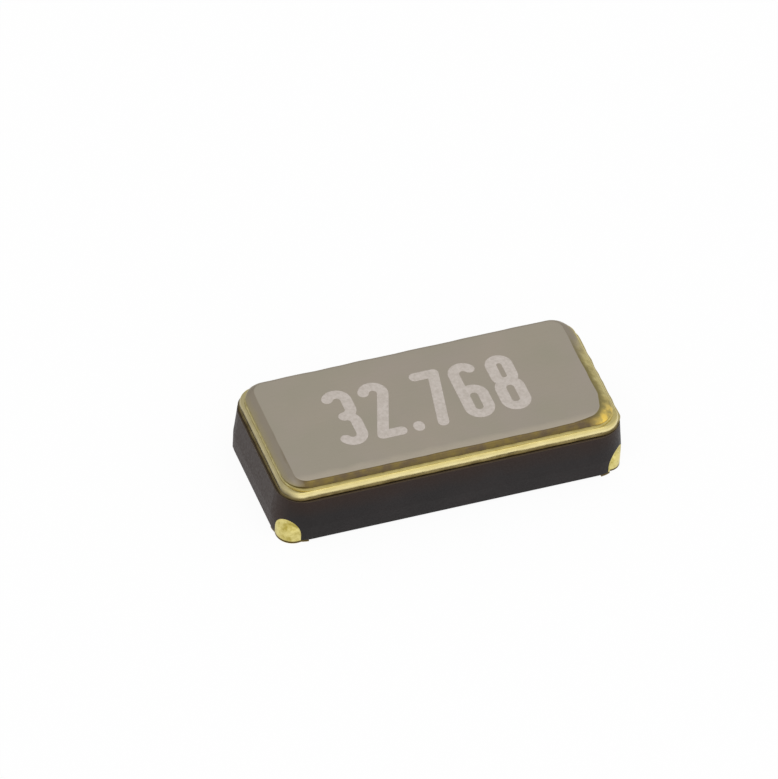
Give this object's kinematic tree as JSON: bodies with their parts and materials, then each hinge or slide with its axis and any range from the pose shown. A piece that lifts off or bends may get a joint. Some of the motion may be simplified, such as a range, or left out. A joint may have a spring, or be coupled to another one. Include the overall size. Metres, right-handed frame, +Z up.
{
  "type": "tuning fork quartz crystal unit",
  "caption": "Surface-mount quartz crystal unit for timing circuits: black ceramic package with gold seal ring and welded metal lid, a tuning fork sealed inside, and gold soldering pads below.",
  "frame": {"origin": "centre of the footprint, on the soldering plane under the terminals", "axes": "+X along the package towards the free tips of the fork, +Y across it, +Z up through the lid"},
  "size_m": [0.0032, 0.0016, 0.0006],
  "materials": {
    "black_ceramic": "matt fired black alumina",
    "gold_terminal": "gold plating, mottled",
    "gold_film": "gold film",
    "gold_ring": "bright gold plating over an iron-nickel-cobalt alloy",
    "brazing_alloy": "gold-plated silver-copper brazing alloy",
    "nickel_lid": "matt nickel plating over an iron-nickel-cobalt alloy",
    "weld_metal": "fused nickel and gold",
    "tungsten_trace": "sintered tungsten",
    "silver_adhesive": "silver-filled silicone",
    "quartz": "etched clear quartz"
  },
  "bodies": {
    "root": {"ceramic_body": "black_ceramic", "terminal_left": "gold_terminal", "terminal_right": "gold_terminal", "conductor_left": "tungsten_trace", "conductor_right": "tungsten_trace", "bonding_pad_back": "gold_film", "bonding_pad_front": "gold_film", "adhesive_back": "silver_adhesive", "adhesive_front": "silver_adhesive", "tuning_fork": "quartz", "electrode_back": "gold_film", "electrode_front": "gold_film", "trim_weight_back": "gold_film", "trim_weight_front": "gold_film", "ring_metallising": "gold_film", "braze_joint": "brazing_alloy", "seal_ring": "gold_ring", "lid": "nickel_lid", "weld_seam": "weld_metal"}
  },
  "joints": []
}
